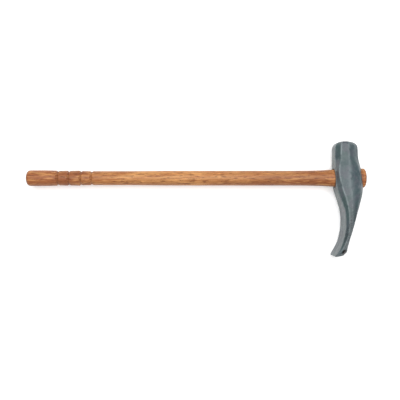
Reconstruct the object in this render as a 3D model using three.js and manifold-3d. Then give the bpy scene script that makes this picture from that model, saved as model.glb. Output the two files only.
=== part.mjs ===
// Long-handled chipping hammer: a forged head with a domed poll and a swept, duck-billed blade
// on a turned hardwood handle, held by a wooden wedge and two steel wedges.
// Millimetres, +Z up. The hammer lies on its cheek: +X runs along the handle to the head,
// +Y points from the blade to the poll.

import * as THREE from 'three';
import { mergeVertices } from 'three/addons/utils/BufferGeometryUtils.js';
import Module from 'manifold-3d';

const wasm = await Module();
wasm.setup();

// ---------------------------------------------------------------- driving dimensions

const overallLength = 600;        // grip end to the crown of the wedged end
const endProud = 8.9;             // wedged end standing out beyond the head
const clearance = 0.3;            // gap kept between pieces that touch

// head, measured from the handle's axis and from the face that looks at the grip
const pollHeight = 64.7;          // handle axis to the top of the crowned poll
const crownHeight = 13.5;         // part of that height taken by the crown and its rounded rim
const bladeReach = 138;           // handle axis to the tip of the blade
const pollWidth = 40.2;           // along the handle
const pollDepth = 40;             // across the handle
const eyeWidth = 48;              // along the handle, where the handle goes through
const cheekDepth = 50;            // across the cheeks, kept down the blade
const bladeSweep = 17.4;          // how far the blade first leans away from the grip
const bladeThickness = 11.5;      // at its thinnest, above the tip
const tipSweep = -1.7;            // inner corner of the tip, against the grip-side face
const tipCornerRadius = 12;       // rounded corners of the duck bill

// handle
const gripDiameter = 27.8;
const gripTaper = 1;              // how much slimmer the grip is where it meets the first groove
const grooveDiameter = 22.8;
const grooveWidth = 5.2;
const grooveCentres = [56.2, 75.4, 96.8, 115.4];
const waistDiameter = 25;         // slimmest stretch of the shaft, next to the grip
const shaftDiameter = 26.2;
const mouthHeight = 30.8;         // oval tenon at the grip-side mouth of the eye
const mouthDepth = 26.4;
const eyeWaistHeight = 29;        // narrowest part of the eye
const eyeWaistDepth = 24;
const exitHeight = 34.2;          // oval end, spread by the wedges
const exitDepth = 28.4;
const endCrown = 5.5;             // rounding of the wedged end

// wedges
const woodWedgeThickness = 5;
const woodWedgeRoot = 1.6;        // thickness of its buried edge
const woodWedgeLength = 40;
const steelWedgeWidth = 19;
const steelWedgeThickness = 3.2;
const steelWedgeEdge = 1;
const steelWedgeLength = 24;
const steelWedgeSpacing = 17;     // between the middles of the two steel wedges
const steelWedgeInset = 1.6;      // their backs sit this far below the top of the end's crown

// ---------------------------------------------------------------- places that follow

const faceX = overallLength - endProud - eyeWidth;
const exitX = overallLength - endProud;
const crownStart = pollHeight - crownHeight;
const cheekHalf = cheekDepth / 2;
const pollHalf = pollDepth / 2;

const aroundHandle = 32;
const headSteps = 38;
const crownSteps = 6;

// ---------------------------------------------------------------- shape helpers

// A closed solid through rings of points, every ring with the same count, flat at both ends.
function loft(rings) {
  const count = rings[0].length;
  const positions = rings.flat().flatMap((point) => [point.x, point.y, point.z]);
  const index = [];
  for (let row = 0; row < rings.length - 1; row += 1) {
    for (let k = 0; k < count; k += 1) {
      const next = (k + 1) % count;
      const a = row * count + k;
      const b = row * count + next;
      index.push(a, a + count, b, b, a + count, b + count);
    }
  }
  const last = (rings.length - 1) * count;
  for (let k = 1; k < count - 1; k += 1) {
    index.push(0, k, k + 1);
    index.push(last, last + k + 1, last + k);
  }
  const geometry = new THREE.BufferGeometry();
  geometry.setAttribute('position', new THREE.Float32BufferAttribute(positions, 3));
  geometry.setIndex(index);
  return geometry;
}

// Rings square to the X axis: stations give the place and the half height and half depth of an oval.
function ovalLoft(stations, around = aroundHandle) {
  return loft(stations.map(({ x, height, depth }) => {
    const ring = [];
    for (let k = 0; k < around; k += 1) {
      const angle = -2 * Math.PI * k / around;
      ring.push(new THREE.Vector3(x, height * Math.cos(angle), depth * Math.sin(angle)));
    }
    return ring;
  }));
}

// A wedge pointing at the grip. grow thickens it all over; overrun carries its taper past its back.
function wedgeBlock(wedge, grow = 0, overrun = 0) {
  const root = wedge.back - wedge.length;
  const slope = (wedge.thickness - wedge.edge) / wedge.length;
  const ring = (x) => {
    const thick = (wedge.edge + slope * (x - root)) / 2 + grow;
    const wide = wedge.width / 2 + grow;
    const corners = [[-1, -1], [1, -1], [1, 1], [-1, 1]];
    return corners.map(([a, b]) => (wedge.across === 'y'
      ? new THREE.Vector3(x, wedge.middle - a * thick, b * wide)
      : new THREE.Vector3(x, b * wide, a * thick)));
  };
  return toSolid(loft([ring(root - grow), ring(wedge.back + overrun)]));
}

function toSolid(geometry) {
  const bare = geometry.clone();
  bare.deleteAttribute('normal');
  bare.deleteAttribute('uv');
  const merged = mergeVertices(bare, 1e-4);
  const vertProperties = new Float32Array(merged.attributes.position.array);
  const triVerts = new Uint32Array(merged.index.array);
  return new wasm.Manifold(new wasm.Mesh({ numProp: 3, vertProperties, triVerts }));
}

function toGeometry(solid) {
  const mesh = solid.getMesh();
  const geometry = new THREE.BufferGeometry();
  geometry.setAttribute('position', new THREE.BufferAttribute(new Float32Array(mesh.vertProperties), 3));
  geometry.setIndex(new THREE.BufferAttribute(new Uint32Array(mesh.triVerts), 1));
  geometry.computeVertexNormals();
  return geometry;
}

const mix = (a, b, t) => a + (b - a) * t;
const ease = (t) => t * t * (3 - 2 * t);

// ---------------------------------------------------------------- handle

// Quarter of a superellipse, from the full section (out 0, size 1) to the small flat at the end (out 1).
function roundedEnd(steps, roundness) {
  const lastAngle = 0.93 * Math.PI / 2;
  const reach = Math.sin(lastAngle) ** (2 / roundness);
  return Array.from({ length: steps + 1 }, (_, k) => {
    const angle = lastAngle * k / steps;
    return {
      out: Math.sin(angle) ** (2 / roundness) / reach,
      size: Math.cos(angle) ** (2 / roundness),
    };
  });
}

// Turned outline of the grip: a rounded butt, then grooves with eased lips between barrels.
function gripOutline() {
  const buttLength = 8;
  const outline = roundedEnd(7, 2.7).reverse().map(({ out, size }) => (
    [buttLength * (1 - out), size * gripDiameter / 2]
  ));
  outline.push([0.6 * grooveCentres[0], gripDiameter / 2]);
  const barrels = [gripDiameter - gripTaper, shaftDiameter, shaftDiameter,
    mix(shaftDiameter, waistDiameter, 0.7), waistDiameter];
  grooveCentres.forEach((centre, k) => {
    const before = barrels[k] / 2;
    const after = barrels[k + 1] / 2;
    const half = grooveWidth / 2;
    outline.push([centre - 1.9 * half, before], [centre - half, before - 0.35]);
    outline.push([centre - 0.2 * half, grooveDiameter / 2], [centre + 0.2 * half, grooveDiameter / 2]);
    outline.push([centre + half, after - 0.35], [centre + 1.9 * half, after]);
  });
  return outline;
}

// Shaft from the last groove to the mouth of the eye: slim, then swelling, then flared.
function shaftOutline() {
  const start = grooveCentres.at(-1) + 2 * grooveWidth;
  const swellEnd = mix(start, faceX, 0.3);
  const flareStart = mix(start, faceX, 0.8);
  const outline = [[mix(start, swellEnd, 0.45), waistDiameter / 2]];
  for (const t of [0.25, 0.5, 0.75, 1]) {
    const x = mix(mix(start, swellEnd, 0.45), swellEnd, t);
    outline.push([x, mix(waistDiameter, shaftDiameter, ease(t)) / 2]);
  }
  outline.push([flareStart, shaftDiameter / 2]);
  return outline;
}

function handleStations() {
  const stations = [...gripOutline(), ...shaftOutline()].map(([x, radius]) => (
    { x, height: radius, depth: radius }
  ));
  const oval = (x, height, depth) => stations.push({ x, height: height / 2, depth: depth / 2 });
  const flareStart = stations.at(-1).x;
  const mouthX = faceX + 2;
  for (const t of [0.25, 0.5, 0.7, 0.85, 1]) {
    const swell = t ** 2.8;
    const x = mix(flareStart, mouthX, t);
    oval(x, mix(shaftDiameter, mouthHeight, swell), mix(shaftDiameter, mouthDepth, swell));
  }
  for (const t of [0.25, 0.5, 0.75, 1]) {
    oval(mix(mouthX, mix(faceX, exitX, 0.42), t), mix(mouthHeight, eyeWaistHeight, ease(t)),
      mix(mouthDepth, eyeWaistDepth, ease(t)));
  }
  const endStart = overallLength - endCrown;
  for (const t of [0.25, 0.5, 0.75, 1]) {
    oval(mix(mix(faceX, exitX, 0.42), exitX - 2, t), mix(eyeWaistHeight, exitHeight, ease(t)),
      mix(eyeWaistDepth, exitDepth, ease(t)));
  }
  for (const { out, size } of roundedEnd(6, 2.5)) {
    oval(endStart + endCrown * out, exitHeight * size, exitDepth * size);
  }
  return stations;
}

// The eye follows the handle inside the head and runs straight past both of its faces.
function eyeStations() {
  const inside = handleStations().filter(({ x }) => x > faceX && x < exitX);
  const grown = inside.map(({ x, height, depth }) => (
    { x, height: height + clearance, depth: depth + clearance }
  ));
  return [{ ...grown[0], x: faceX - eyeWidth }, ...grown, { ...grown.at(-1), x: exitX + eyeWidth }];
}

// ---------------------------------------------------------------- head

// Half section of the head, as shares of its width (along the handle) and of its half depth:
// inner flat | inner chamfer | cheek | outer facet | shoulder | outer flat.
// level is the height of the inner edge over the handle's axis; rise lifts the outer edge.
const neckLevel = -0.62 * bladeReach;
const headShape = [
  { level: crownStart, inner: 0, outer: pollWidth, rise: 0,
    innerFlat: 0.53, cheekStart: 0.21, ridge: 0.57, shoulder: 0.83, shoulderHalf: 0.66, outerFlat: 0.33 },
  { level: 0.7 * crownStart, inner: 0, outer: pollWidth + 0.6, rise: 0,
    innerFlat: 0.53, cheekStart: 0.19, ridge: 0.57, shoulder: 0.84, shoulderHalf: 0.66, outerFlat: 0.33 },
  { level: 0.3 * crownStart, inner: 0, outer: mix(pollWidth, eyeWidth, 0.64), rise: 0,
    innerFlat: 0.52, cheekStart: 0.09, ridge: 0.53, shoulder: 0.86, shoulderHalf: 0.8, outerFlat: 0.4 },
  { level: -0.03 * bladeReach, inner: 0.5, outer: eyeWidth, rise: 0,
    innerFlat: 0.56, cheekStart: 0.12, ridge: 0.52, shoulder: 0.87, shoulderHalf: 0.84, outerFlat: 0.45 },
  { level: -0.15 * bladeReach, inner: 0.2 * bladeSweep, outer: eyeWidth - 0.8, rise: 0,
    innerFlat: 0.58, cheekStart: 0.16, ridge: 0.52, shoulder: 0.86, shoulderHalf: 0.86, outerFlat: 0.52 },
  { level: -0.27 * bladeReach, inner: 0.53 * bladeSweep, outer: eyeWidth - 3.9, rise: 0,
    innerFlat: 0.66, cheekStart: 0.2, ridge: 0.55, shoulder: 0.86, shoulderHalf: 0.86, outerFlat: 0.6 },
  { level: -0.4 * bladeReach, inner: 0.88 * bladeSweep, outer: eyeWidth - 9.1, rise: 0,
    innerFlat: 0.76, cheekStart: 0.2, ridge: 0.58, shoulder: 0.88, shoulderHalf: 0.86, outerFlat: 0.66 },
  { level: neckLevel + 0.09 * bladeReach, inner: bladeSweep, outer: bladeSweep + 1.45 * bladeThickness,
    rise: 0.5, innerFlat: 0.8, cheekStart: 0.26, ridge: 0.68, shoulder: 0.92, shoulderHalf: 0.88,
    outerFlat: 0.68 },
  { level: neckLevel - 0.07 * bladeReach, inner: 0.93 * bladeSweep,
    outer: 0.93 * bladeSweep + bladeThickness, rise: 2, innerFlat: 0.81, cheekStart: 0.36, ridge: 0.78,
    shoulder: 0.93, shoulderHalf: 0.88, outerFlat: 0.68 },
  { level: -0.84 * bladeReach, inner: mix(bladeSweep, tipSweep, 0.37),
    outer: mix(bladeSweep, tipSweep, 0.37) + bladeThickness + 0.4, rise: 4, innerFlat: 0.83,
    cheekStart: 0.34, ridge: 0.72, shoulder: 0.93, shoulderHalf: 0.86, outerFlat: 0.68 },
  { level: -0.92 * bladeReach, inner: mix(bladeSweep, tipSweep, 0.65),
    outer: mix(bladeSweep, tipSweep, 0.65) + bladeThickness + 3.4, rise: 4.4, innerFlat: 0.9,
    cheekStart: 0.22, ridge: 0.62, shoulder: 0.92, shoulderHalf: 0.84, outerFlat: 0.66 },
  { level: -0.97 * bladeReach, inner: mix(bladeSweep, tipSweep, 0.87),
    outer: mix(bladeSweep, tipSweep, 0.87) + bladeThickness + 6.2, rise: 3.4, innerFlat: 0.93,
    cheekStart: 0.14, ridge: 0.56, shoulder: 0.9, shoulderHalf: 0.82, outerFlat: 0.6 },
  { level: -bladeReach, inner: tipSweep, outer: tipSweep + bladeThickness + 4.2, rise: 2.4,
    innerFlat: 0.93, cheekStart: 0.12, ridge: 0.54, shoulder: 0.88, shoulderHalf: 0.8, outerFlat: 0.5 },
];

// Half depth at a level: the poll's, eased out to the cheeks, rounded off in plan at the tip.
function headHalfDepth(level) {
  const cheekTop = 0.25 * crownStart;
  const pollFoot = 0.75 * crownStart;
  const t = THREE.MathUtils.clamp((level - cheekTop) / (pollFoot - cheekTop), 0, 1);
  const half = mix(cheekHalf, pollHalf, ease(t));
  const fromCorner = Math.max(tipCornerRadius - (level + bladeReach), 0);
  return half - tipCornerRadius + Math.sqrt(tipCornerRadius ** 2 - fromCorner ** 2);
}

function headRing(shape) {
  const half = headHalfDepth(shape.level);
  const width = shape.outer - shape.inner;
  const corners = [[0, shape.innerFlat], [shape.cheekStart, 1], [shape.ridge, 1],
    [shape.shoulder, shape.shoulderHalf], [1, shape.outerFlat]];
  const upper = corners.map(([share, depth]) => new THREE.Vector3(
    faceX + shape.inner + width * share, shape.level + shape.rise * share, half * depth,
  ));
  const lower = upper.map((point) => new THREE.Vector3(point.x, point.y, -point.z)).reverse();
  return [...upper, ...lower];
}

function headRings() {
  const fields = Object.keys(headShape[0]);
  const levels = headShape.map((shape) => -shape.level);
  const values = headShape.flatMap((shape) => fields.map((field) => shape[field]));
  const between = new THREE.CubicInterpolant(levels, values, fields.length);
  const rings = [];
  for (let k = 0; k <= headSteps; k += 1) {
    // steps crowd towards the tip, where the plan turns its rounded corners
    const t = k / headSteps;
    const level = mix(crownStart, -bladeReach, t + 0.09 * Math.sin(2 * Math.PI * t) / Math.PI);
    const row = between.evaluate(-level);
    rings.push(headRing(Object.fromEntries(fields.map((field, n) => [field, row[n]]))));
  }
  return rings;
}

// The poll's crown: its rim ring drawn in towards the middle while it rises, flat at the very top.
// It draws in more slowly across the handle, so the front and back facets run on nearly to the top.
function crownRings(rim) {
  const middle = new THREE.Vector3(faceX + pollWidth / 2 - 1, crownStart, 0);
  const flatShare = 0.26;
  const rings = [];
  for (let k = crownSteps; k > 0; k -= 1) {
    const size = Math.max(Math.cos((Math.PI / 2) * (k / crownSteps)) ** 0.72, flatShare);
    const rise = k === crownSteps ? 1 : (1 - size ** 2.8) ** 0.48;
    const depth = 1 - (1 - size) ** 2;
    const y = crownStart + crownHeight * rise;
    rings.push(rim.map(({ x, z }) => new THREE.Vector3(mix(middle.x, x, size), y, z * depth)));
  }
  return rings;
}

// ---------------------------------------------------------------- the pieces

const handleBlank = toSolid(ovalLoft(handleStations()));

const woodWedge = {
  back: overallLength,
  length: woodWedgeLength,
  thickness: woodWedgeThickness,
  edge: woodWedgeRoot,
  width: 2 * exitHeight,
};

const steelWedges = [1, -1].map((side) => ({
  back: overallLength - steelWedgeInset,
  length: steelWedgeLength,
  thickness: steelWedgeThickness,
  edge: steelWedgeEdge,
  width: steelWedgeWidth,
  across: 'y',
  middle: side * steelWedgeSpacing / 2,
}));

function buildHead() {
  const rings = headRings();
  const blank = toSolid(loft([...crownRings(rings[0]), ...rings]));
  return blank.subtract(toSolid(ovalLoft(eyeStations())));
}

function withSteelSlots(solid) {
  return steelWedges.reduce((cut, wedge) => cut.subtract(wedgeBlock(wedge, clearance, endCrown)), solid);
}

function buildHandle() {
  return withSteelSlots(handleBlank.subtract(wedgeBlock(woodWedge, clearance, endCrown)));
}

// The wooden wedge is trimmed flush with the oval of the handle's end.
function buildWoodWedge() {
  return withSteelSlots(wedgeBlock(woodWedge).intersect(handleBlank));
}

const paintedSteel = new THREE.MeshStandardMaterial({ color: 0x66747a, roughness: 0.3, metalness: 0.35 });
const varnishedWood = new THREE.MeshStandardMaterial({ color: 0xb97a4e, roughness: 0.4, metalness: 0 });
const paleWood = new THREE.MeshStandardMaterial({ color: 0xcaa578, roughness: 0.6, metalness: 0 });
const bareSteel = new THREE.MeshStandardMaterial({ color: 0x8b8d8f, roughness: 0.35, metalness: 1 });

const hammer = new THREE.Group();
hammer.position.set(-overallLength / 2, (bladeReach - pollHeight) / 2, cheekHalf);

function addPiece(name, solid, material) {
  const mesh = new THREE.Mesh(toGeometry(solid), material);
  mesh.name = name;
  hammer.add(mesh);
}

addPiece('hammer_head', buildHead(), paintedSteel);
addPiece('handle', buildHandle(), varnishedWood);
addPiece('wood_wedge', buildWoodWedge(), paleWood);
addPiece('steel_wedge_upper', wedgeBlock(steelWedges[0]), bareSteel);
addPiece('steel_wedge_lower', wedgeBlock(steelWedges[1]), bareSteel);

export default hammer;
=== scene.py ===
"""Chipping hammer: the visible surfaces and finishes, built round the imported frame.

Run as a script. Every length is in metres in the frame's own axes: +X runs along the handle to
the head, +Y from the blade to the poll, +Z up from the surface that the hammer lies on.
"""

import math

import bmesh
import bpy
import numpy as np
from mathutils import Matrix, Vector


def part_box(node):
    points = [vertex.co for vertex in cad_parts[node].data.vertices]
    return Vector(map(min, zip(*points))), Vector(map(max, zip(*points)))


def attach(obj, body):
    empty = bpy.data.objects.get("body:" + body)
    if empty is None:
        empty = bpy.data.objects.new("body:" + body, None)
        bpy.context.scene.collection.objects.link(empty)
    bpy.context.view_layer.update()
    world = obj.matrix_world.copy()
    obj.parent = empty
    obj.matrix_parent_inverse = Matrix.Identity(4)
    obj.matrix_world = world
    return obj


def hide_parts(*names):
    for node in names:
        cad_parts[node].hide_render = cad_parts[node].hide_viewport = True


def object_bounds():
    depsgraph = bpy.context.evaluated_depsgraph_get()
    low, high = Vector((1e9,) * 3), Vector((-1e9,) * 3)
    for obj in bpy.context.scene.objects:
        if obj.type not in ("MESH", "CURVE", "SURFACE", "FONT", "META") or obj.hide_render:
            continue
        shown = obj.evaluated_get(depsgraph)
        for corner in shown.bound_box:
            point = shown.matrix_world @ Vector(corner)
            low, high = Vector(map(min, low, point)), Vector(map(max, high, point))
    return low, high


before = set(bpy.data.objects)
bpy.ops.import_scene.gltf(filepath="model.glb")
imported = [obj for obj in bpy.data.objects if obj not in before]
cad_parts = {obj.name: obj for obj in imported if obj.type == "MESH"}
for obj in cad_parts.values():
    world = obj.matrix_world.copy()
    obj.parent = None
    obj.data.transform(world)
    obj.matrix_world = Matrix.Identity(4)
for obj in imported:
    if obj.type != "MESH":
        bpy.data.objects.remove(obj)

bl_info = {
    "name": "Chipping Hammer",
    "version": (1, 0, 0),
    "blender": (4, 5, 0),
    "location": "View3D > Sidebar > Hammer",
    "description": "Builds the forged head, turned handle and wedges of a long chipping hammer",
    "category": "Object",
}

MM = 0.001
CAD_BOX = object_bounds()
HEAD_LOW, HEAD_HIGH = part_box("hammer_head")
HANDLE_LOW, HANDLE_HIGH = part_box("handle")
AXIS_Y = (HANDLE_LOW.y + HANDLE_HIGH.y) / 2
AXIS_Z = (HANDLE_LOW.z + HANDLE_HIGH.z) / 2


# ------------------------------------------------------------------ sizes and colours

def length(name, description, default_mm):
    """A property in metres whose default is given in millimetres."""
    return bpy.props.FloatProperty(name=name, description=description, default=default_mm * MM,
                                   unit="LENGTH", precision=4)


def colour(name, description, default):
    """A linear colour property."""
    return bpy.props.FloatVectorProperty(name=name, description=description, default=default,
                                         subtype="COLOR", size=3, min=0.0, max=1.0)


class HammerHeadSizes(bpy.types.PropertyGroup):
    """Sizes of the forged head."""

    crown_height: length("Crown height", "Height of the poll's crown and rounded rim", 13.5)
    poll_width: length("Poll width", "Poll, measured along the handle", 40.2)
    poll_depth: length("Poll depth", "Poll, measured across the handle", 40)
    eye_width: length("Eye width", "Head at the eye, measured along the handle", 48)
    blade_sweep: length("Blade sweep", "How far the blade first leans away from the grip", 17.4)
    blade_thickness: length("Blade thickness", "Blade at its thinnest", 11.5)
    tip_sweep: length("Tip sweep", "Inner corner of the tip, against the grip-side face", -1.7)
    tip_corner: length("Tip corner radius", "Rounding of the duck bill's corners", 12)
    tip_edge: length("Tip edge radius", "Rounding of the blade's end", 1.6)
    eye_flare: length("Eye flare", "Depth of the rounding round the eye's mouths", 1.8)
    unevenness: length("Unevenness", "Depth of the forging's low spots", 0.45)
    corner_fill: length("Corner fill", "Width added on each side, making up for the soft corners", 0.7)
    crispness: bpy.props.FloatProperty(
        name="Crispness", description="Higher values give the facets sharper edges", default=80, min=8)


class HammerHandleSizes(bpy.types.PropertyGroup):
    """Sizes of the turned handle."""

    grip: length("Grip diameter", "Diameter of the grip behind the butt", 27.8)
    grip_end: length("Grip end diameter", "Diameter where the grip meets the first groove", 26.8)
    barrel: length("Barrel diameter", "Diameter between the grooves", 26.2)
    waist: length("Waist diameter", "Slimmest stretch, past the last groove", 25)
    shaft: length("Shaft diameter", "Long stretch towards the head", 26.2)
    groove_depth: length("Groove depth", "Depth of the turned grooves", 1.75)
    groove_width: length("Groove width", "Width of the turned grooves", 5.4)
    mouth_height: length("Mouth height", "Oval at the grip-side mouth of the eye", 30.8)
    mouth_depth: length("Mouth depth", "Oval at the grip-side mouth of the eye", 26.4)
    waist_height: length("Eye waist height", "Oval inside the eye", 29)
    waist_depth: length("Eye waist depth", "Oval inside the eye", 24)
    exit_height: length("End height", "Oval end spread by the wedges", 34.2)
    exit_depth: length("End depth", "Oval end spread by the wedges", 28.4)
    end_crown: length("End crown", "Rounding of the wedged end", 5.5)
    clearance: length("Clearance", "Gap between the eye and the handle", 0.3)


class HammerWedgeSizes(bpy.types.PropertyGroup):
    """Sizes of the wooden wedge and the two steel wedges."""

    wood_thickness: length("Wood thickness", "Wooden wedge at the end of the handle", 5)
    wood_root: length("Wood root", "Wooden wedge at its buried edge", 1.6)
    wood_length: length("Wood length", "How far the wooden wedge goes in", 40)
    steel_width: length("Steel width", "Steel wedge across the wooden one", 19)
    steel_thickness: length("Steel thickness", "Steel wedge at its back", 3.2)
    steel_edge: length("Steel edge", "Steel wedge at its buried edge", 1)
    steel_length: length("Steel length", "How far a steel wedge goes in", 24)
    spacing: length("Spacing", "Between the middles of the steel wedges", 17)
    slot_gap: length("Slot gap", "Gap round each wedge in its slot", 0.12)


class HammerColours(bpy.types.PropertyGroup):
    """Colours of the finishes and the strength of the lights."""

    enamel: colour("Enamel", "Main colour of the head's paint", (0.055, 0.082, 0.093))
    enamel_green: colour("Enamel, greener", "Second shade of the paint", (0.052, 0.087, 0.088))
    enamel_violet: colour("Enamel, greyer", "Third shade of the paint", (0.074, 0.087, 0.104))
    enamel_dusty: colour("Enamel, dusty", "Pale fine speckle of the paint", (0.15, 0.175, 0.185))
    # enamel_ridge_highlight is a painted highlight: paler paint along the ridges standing in for the gloss's
    # edge reflection, which also reads as paint worn thin.
    enamel_ridge_highlight: colour("Enamel, rubbed", "Paint rubbed pale along the ridges", (0.19, 0.23, 0.24))
    scale_dark: colour("Scale, dark", "Dark flakes on the blade's outer side", (0.026, 0.032, 0.038))
    scale_pale: colour("Scale, pale", "Pale flakes on the blade's outer side", (0.15, 0.15, 0.17))
    bare_iron: colour("Bare iron", "Iron where the paint is knocked off", (0.012, 0.012, 0.013))
    wood_pale: colour("Wood, pale", "Pale layers of the handle's grain", (0.61, 0.305, 0.108))
    wood_mid: colour("Wood, middle", "Main colour of the handle", (0.41, 0.142, 0.040))
    wood_dark: colour("Wood, dark", "Dark streaks of the handle's grain", (0.13, 0.034, 0.012))
    # wood_red also colours the low side, away from the key light: there it is partly painted shade and
    # partly redder heartwood.
    wood_red: colour("Wood, red", "Redder wood of the grip and the shaded side", (0.31, 0.092, 0.031))
    wedge_wood: colour("Wedge wood", "Colour of the wooden wedge", (0.52, 0.36, 0.19))
    wedge_steel: colour("Wedge steel", "Colour of the steel wedges", (0.42, 0.42, 0.43))
    rust: colour("Rust", "Thin rust on the steel wedges", (0.20, 0.11, 0.06))
    floor: colour("Floor", "Colour of the floor", (0.93, 0.93, 0.93))
    key_power: bpy.props.FloatProperty(name="Key light", description="Overhead softbox",
                                       default=66, unit="POWER")
    fill_strength: bpy.props.FloatProperty(name="Fill", description="Strength of the light all round",
                                           default=0.18, min=0)


# ------------------------------------------------------------------ mesh helpers

def smooth_step(share):
    """0 to 1 with level ends: 3 t^2 - 2 t^3 of the share, held between 0 and 1."""
    t = np.clip(share, 0, 1)
    return t * t * (3 - 2 * t)


def curve_through(at, knots, values):
    """Cubic Hermite curve through the knots, each slope being that between its two neighbours."""
    knots = np.asarray(knots, float)
    values = np.asarray(values, float)
    slopes = np.gradient(values, knots)
    k = np.clip(np.searchsorted(knots, at) - 1, 0, len(knots) - 2)
    span = knots[k + 1] - knots[k]
    t = np.clip((at - knots[k]) / span, 0, 1)
    start = (1 + 2 * t) * (1 - t) ** 2 * values[k] + t * (1 - t) ** 2 * span * slopes[k]
    end = t * t * (3 - 2 * t) * values[k + 1] + t * t * (t - 1) * span * slopes[k + 1]
    return start + end


def closed_tube(name, rings):
    """A closed mesh from a grid of points (rings, around, 3), with a fan to a middle point at each end."""
    rows, around = rings.shape[:2]
    points = np.concatenate([rings.reshape(-1, 3), rings[[0, -1]].mean(axis=1)])
    row, column = np.meshgrid(np.arange(rows - 1), np.arange(around), indexing="ij")
    here = row * around + column
    beside = row * around + (column + 1) % around
    quads = np.stack([here, beside, beside + around, here + around], axis=-1).reshape(-1, 4)
    rim = np.arange(around)
    next_rim = (rim + 1) % around
    last = (rows - 1) * around
    first_fan = np.stack([next_rim, rim, np.full(around, rows * around)], axis=-1)
    last_fan = np.stack([last + rim, last + next_rim, np.full(around, rows * around + 1)], axis=-1)
    mesh = bpy.data.meshes.new(name)
    mesh.from_pydata(points, [], quads.tolist() + first_fan.tolist() + last_fan.tolist())
    mesh.validate()
    mesh.update()
    return mesh


def add_object(name, mesh):
    """An object at the origin holding the mesh."""
    piece = bpy.data.objects.new(name, mesh)
    bpy.context.scene.collection.objects.link(piece)
    return piece


def cut(piece, mesh, operation="DIFFERENCE"):
    """Cuts the piece by a closed mesh, or keeps what they share, and bakes the result into it."""
    tool = add_object(piece.name + "_tool", mesh)
    modifier = piece.modifiers.new("cut", "BOOLEAN")
    modifier.operation = operation
    modifier.solver = "EXACT"
    modifier.object = tool
    bpy.context.view_layer.update()
    result = bpy.data.meshes.new_from_object(piece.evaluated_get(bpy.context.evaluated_depsgraph_get()))
    close_slivers(result)
    piece.modifiers.clear()
    piece.data = result
    result.name = piece.name
    bpy.data.objects.remove(tool)


def close_slivers(mesh, smallest=0.002 * MM):
    """Closes edges too short to see, and splits the faces with many corners into triangles."""
    cleaned = bmesh.new()
    cleaned.from_mesh(mesh)
    bmesh.ops.dissolve_degenerate(cleaned, dist=smallest, edges=cleaned.edges)
    bmesh.ops.triangulate(cleaned, faces=[face for face in cleaned.faces if len(face.verts) > 4])
    cleaned.to_mesh(mesh)
    cleaned.free()


def vertex_array(mesh):
    """The mesh's vertices as an array (count, 3)."""
    points = np.empty(len(mesh.vertices) * 3, np.float32)
    mesh.vertices.foreach_get("co", points)
    return points.reshape(-1, 3).astype(float)


def store(mesh, name, values):
    """Keeps one number for each vertex, for the piece's material to read."""
    attribute = mesh.attributes.new(name, "FLOAT", "POINT")
    attribute.data.foreach_set("value", np.asarray(values, np.float32))


def finish_piece(piece, material, node, edge_degrees=38):
    """Smooth shading with true edges kept, the material, and the piece's place in the frame."""
    mesh = piece.data
    mesh.polygons.foreach_set("use_smooth", np.ones(len(mesh.polygons), bool))
    mesh.set_sharp_from_angle(angle=math.radians(edge_degrees))
    mesh.materials.clear()
    mesh.materials.append(material)
    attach(piece, "root")
    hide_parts(node)


# ------------------------------------------------------------------ the head's form

def face_x(sizes):
    """Where the face that looks at the grip stands."""
    return HEAD_HIGH.x - sizes.eye_width


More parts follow.
